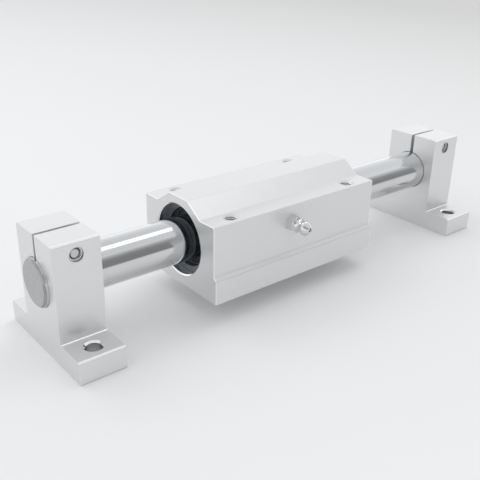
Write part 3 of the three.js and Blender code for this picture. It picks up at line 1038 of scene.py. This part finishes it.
def milledFinish(name, tone, centre):
    # sawn and milled ends: fine parallel cutter lines, slightly greyer than the drawn faces
    finish = Finish(name)
    lines = finish.noise(finish.place(centre, (1, 0.05, 1)), 6.5, 3, 0.7)
    sweep = finish.noise(finish.place(centre, (1, 0.04, 0.5)), 0.7, 2, 0.5)
    grain = finish.noise(finish.place(centre), 8, 2, 0.6)
    shade = (lines * 0.5 + sweep * 0.35 + grain * 0.15).clamped()
    colour = finish.blended(shade, grey(tone["dark"] * 0.93, -0.006), grey(tone["light"] * 0.97, -0.002))
    rough = tone["rough"] - 0.02 + (sweep - 0.5) * 0.14 + (grain - 0.5) * 0.08
    return finish.shine(
        Base_Color=colour, Roughness=rough.clamped(), Metallic=min(1, tone["metal"] + 0.2),
        Normal=finish.bump(lines * 0.8 + grain * 0.2, 0.3, 0.02),
    )


def chamferHighlightFinish():
    # chamfers and hole walls: a painted highlight, a base colour brighter than the faces, and smoother
    finish = Finish("brightChamfer")
    lines = finish.noise(finish.place((0, 0, axisHeight), (0.05, 1, 1)), 5, 3, 0.7)
    colour = finish.blended(lines, grey(0.90, -0.004), grey(0.98, 0.0))
    return finish.shine(
        Base_Color=colour, Roughness=0.16 + lines * 0.12, Metallic=1.0,
        Normal=finish.bump(lines, 0.15, 0.02),
    )


def shadedBoreFinish():
    # the bored wall: fine turning marks round the bore under a film of grease, on a base colour darker and
    # bluer than the case's as painted shade inside the bore
    finish = Finish("caseBored")
    marks = finish.noise(finish.place(caseMiddle, (1, 0.03, 0.03)), 7, 3, 0.7)
    film = finish.noise(finish.place(caseMiddle), 0.12, 3, 0.6)
    colour = finish.blended((marks * 0.6 + film * 0.4).clamped(), grey(0.50, -0.04), grey(0.70, -0.02))
    return finish.shine(
        Base_Color=colour, Roughness=0.16 + film * 0.16, Metallic=1.0,
        Normal=finish.bump(marks, 0.3, 0.03),
    )


def chromeFinish():
    # hard chrome, ground and polished: hair-fine grinding marks round the shaft, a few faint running lines
    finish = Finish("groundChrome")
    centre = (0, 0, axisHeight)
    marks = finish.noise(finish.place(centre, (1, 0.04, 0.04)), 9, 3, 0.7)
    running = finish.noise(finish.place(centre, (0.004, 1, 1)), 1.4, 2, 0.5)
    haze = finish.noise(finish.place(centre), 0.07, 3, 0.6)
    shade = (marks * 0.3 + running * 0.3 + haze * 0.4).clamped()
    colour = finish.blended(shade, grey(chromeTone["dark"], -0.012), grey(chromeTone["light"], -0.01))
    rough = chromeTone["rough"] + haze * 0.05 + marks * 0.03
    return finish.shine(
        Base_Color=colour, Roughness=rough, Metallic=1.0,
        Normal=finish.bump(marks * 0.7 + running * 0.3, 0.06, 0.01),
    )


def facedFinish():
    # the shaft's faced-off ends: rings from the lathe, duller than the chrome
    finish = Finish("facedSteel")
    sideways, upwards = finish.parts(finish.place((0, 0, axisHeight)))[1:]
    radius = (sideways * sideways + upwards * upwards) ** 0.5
    ringPlace = finish.node("ShaderNodeCombineXYZ", None, {0: radius, 1: sideways * 0.02, 2: upwards * 0.02})
    rings = finish.noise(ringPlace, 4.5, 3, 0.75)
    stain = finish.noise(finish.place((0, 0, axisHeight)), 0.16, 4, 0.6)
    shade = (rings * 0.45 + stain * 0.55).clamped()
    colour = finish.blended(shade, grey(0.30, -0.02), grey(0.60, 0.0))
    return finish.shine(
        Base_Color=colour, Roughness=0.3 + stain * 0.2, Metallic=0.85,
        Normal=finish.bump(rings, 0.35, 0.03),
    )


def steelFinish(name, dark, light, metal, rough, grainScale, depth, stretch=(1, 1, 1)):
    # plain metal with a grain of its own scale, and patches where it has been handled
    finish = Finish(name)
    grain = finish.noise(finish.place((0, 0, axisHeight), stretch), grainScale, 3, 0.65)
    patch = finish.noise(finish.place((0, 0, axisHeight)), 0.35, 3, 0.55)
    colour = finish.blended((grain * 0.45 + patch * 0.55).clamped(), grey(*dark), grey(*light))
    return finish.shine(
        Base_Color=colour, Roughness=(rough + (grain - 0.5) * 0.12 + (patch - 0.5) * 0.12).clamped(),
        Metallic=metal, Normal=finish.bump(grain, 0.4, depth),
    )


steelLook = {
    "zinc": ("zincPlate", (0.50, -0.01), (0.72, -0.02), 0.95, 0.3, 6, 0.02),
    "plated": ("nipplePlate", (0.60, 0.0), (0.82, 0.01), 1.0, 0.1, 5, 0.008),
    "black": ("blackenedSpring", (0.10, -0.1), (0.22, -0.08), 0.8, 0.3, 9, 0.02),
    "brightSpring": ("springWire", (0.30, 0.0), (0.52, 0.0), 0.95, 0.28, 12, 0.01),
    "groundSteel": ("bushSteel", (0.26, -0.02), (0.42, -0.01), 0.95, 0.24, 9, 0.015, (1, 0.04, 0.04)),
    "ball": ("ballSteel", (0.62, -0.01), (0.72, -0.01), 1.0, 0.12, 14, 0.004),
}


def resinFinish():
    # moulded cage resin: a spark-eroded grain with flow marks
    finish = Finish("cageResin")
    grain = finish.noise(finish.place(), 7, 2, 0.6)
    flow = finish.noise(finish.place((0, 0, 0), (0.3, 1, 1)), 0.25, 4, 0.6)
    colour = finish.blended((flow * 0.6 + grain * 0.4).clamped(), grey(0.02, -0.15), grey(0.05, -0.12))
    return finish.shine(
        Base_Color=colour, Roughness=0.4 + grain * 0.18, Metallic=0.0, Specular_IOR_Level=0.5,
        Normal=finish.bump(grain, 0.3, 0.03),
    )


def rubberFinish():
    # nitrile: matt, with a faint bloom and a fine pitted skin
    finish = Finish("sealRubber")
    pits = finish.noise(finish.place(), 11, 2, 0.7)
    bloom = finish.noise(finish.place(), 0.3, 4, 0.65)
    colour = finish.blended((bloom * 0.7 + pits * 0.3).clamped(), grey(0.030, -0.16), grey(0.070, -0.14))
    return finish.shine(
        Base_Color=colour, Roughness=0.36 + bloom * 0.22, Metallic=0.0,
        Normal=finish.bump(pits, 0.35, 0.03),
    )


palette = {use: steelFinish(*look) for use, look in steelLook.items()}
palette.update(chamfer=chamferHighlightFinish(), resin=resinFinish(), rubber=rubberFinish())


# making every piece

pieceCount = {"made": 0}


def report(stage, *pieces):
    pieceCount["made"] += len(pieces)
    print(stage + ":", ", ".join(piece.name for piece in pieces))


report("shaft", makeShaft())
for side in sides:
    report("support", makeSupport(side), makeClampScrew(side))
report("case", makeCase())
report("circlips", *[makeCirclip(side) for side in sides])
report("nipple", makeNippleBody(), makeNippleBall(), makeNippleSpring())
for side in sides:
    report("bushing", makeSleeve(side), makeCage(side), makeSeal(side))
    report("balls", *[makeCircuit(side, number) for number in range(trackLook["circuits"])])
    report("rings", *[makeSpringRing(side, place) for place in ("outer", "inner")])
print("pieces made:", pieceCount["made"])


# the floor, the light and the camera

# far is the floor's tone at the far end of a painted falloff of light along x
floorLook = {"side": 9, "light": 0.94, "dark": 0.92, "far": 0.74, "falloffFrom": 60, "falloffTo": 1100}
skyLook = {
    "low": 1.36, "high": 0.82, "cool": -0.015,
    "stops": [(0.0, 0.20), (0.19, 0.23), (0.35, 0.30), (0.49, 0.60), (0.60, 1.0)],
    "shadeFrom": 0.05, "shadeTo": 0.38,
    "viewer": (-0.58, -0.70, 0.42), "viewerFrom": 0.88, "viewerTo": 0.97, "viewerDim": 0.6,
}
lampLook = {
    "strip": {
        "place": (0.45, 0.0, 0.85), "aim": (0.45, 0.0, 0.0), "size": (0.56, 0.26),
        "radiance": 1.25, "warmth": 0.0,
    },
    "key": {
        "place": (-0.15, 0.75, 1.05), "aim": (0.08, 0.0, 0.02), "size": (0.45, 0.45),
        "radiance": 1.7, "warmth": 0.03,
    },
}
cameraLook = {
    "place": (-0.10066, -0.22979, 0.15843), "target": (0.07598, -0.0167, 0.031), "roll": 1.09,
    "lens": 52.44, "sensor": 36,
}


def makeFloor():
    pick()
    bpy.ops.mesh.primitive_plane_add(size=floorLook["side"], location=(0, 0, 0))
    floor = settle(bpy.context.object)
    floor.name = "plainFloor"
    finish = Finish("plainPaper")
    spot = finish.place()
    along = finish.parts(spot)[0]
    # painted shade: the floor is painted darker further along x, standing in for the lamps' falloff
    paintedFalloff = ((along - floorLook["falloffFrom"]) / (floorLook["falloffTo"] - floorLook["falloffFrom"])).clamped()
    cloud = finish.noise(spot, 0.004, 2, 0.5)
    near = finish.blended(cloud, grey(floorLook["dark"]), grey(floorLook["light"]))
    colour = finish.blended(paintedFalloff, near, grey(floorLook["far"], 0.012))
    finish.shine(Base_Color=colour, Roughness=0.8, Metallic=0.0, Specular_IOR_Level=0.15)
    floor.data.materials.append(finish.material)


def makeSky():
    # a pale tent, brightest low down, dim past the viewer's right shoulder and where the viewer stands
    look = skyLook
    world = bpy.data.worlds.new("studioSky")
    world.use_nodes = True
    bpy.context.scene.world = world
    sky = NodeTree(world.node_tree)
    direction = sky.node("ShaderNodeTexCoord", output=0)
    sideways, forwards, upwards = sky.parts(direction)
    tilt = (forwards + upwards) * math.sqrt(0.5)      # below 0 under 45 degrees on the viewer's side
    dim = sky.node("ShaderNodeValToRGB", {
        "stops": [(place, grey(level)) for place, level in look["stops"]],
    }, {"Fac": tilt * 0.8 + 0.5})
    shade = ((sideways - look["shadeFrom"]) / (look["shadeTo"] - look["shadeFrom"])).clamped()
    lowTone, highTone = grey(look["low"], look["cool"]), grey(look["high"], look["cool"])
    tent = sky.blended((upwards * 1.3).clamped(), lowTone, highTone)
    towards = sum(part * share for part, share in zip((sideways, forwards, upwards), look["viewer"]))
    stands = ((towards - look["viewerFrom"]) / (look["viewerTo"] - look["viewerFrom"])).clamped()
    level = (1 - shade * (1 - dim)) * (1 - stands * look["viewerDim"])
    colour = sky.node("ShaderNodeVectorMath", {"operation": "SCALE"}, {0: tent, "Scale": level})
    sky.feed(sky.tree.nodes["Background"].inputs["Color"], colour)


def makeLamp(name, look):
    pick()
    bpy.ops.object.light_add(type="AREA", location=look["place"])
    lamp = bpy.context.object
    lamp.name = name
    lamp.rotation_euler = (Vector(look["aim"]) - Vector(look["place"])).to_track_quat("-Z", "Y").to_euler()
    lamp.data.shape = "RECTANGLE"
    lamp.data.size, lamp.data.size_y = look["size"]
    lamp.data.color = grey(1, look["warmth"])[:3]
    lamp.data.energy = look["radiance"] * math.pi * look["size"][0] * look["size"][1]


def makeCamera():
    pick()
    bpy.ops.object.camera_add(location=cameraLook["place"])
    camera = bpy.context.object
    sight = (Vector(cameraLook["target"]) - Vector(cameraLook["place"])).to_track_quat("-Z", "Y")
    roll = Matrix.Rotation(math.radians(cameraLook["roll"]), 3, "Z")
    camera.rotation_euler = (sight.to_matrix() @ roll).to_euler()
    camera.data.lens = cameraLook["lens"]
    camera.data.sensor_width = cameraLook["sensor"]
    camera.data.clip_start = 0.01
    bpy.context.scene.camera = camera


makeFloor()
makeSky()
for name, look in lampLook.items():
    makeLamp(name + "Light", look)
makeCamera()
bpy.context.scene.view_settings.view_transform = "Standard"
print("floor, light and camera set")

bpy.context.view_layer.update()
pick()
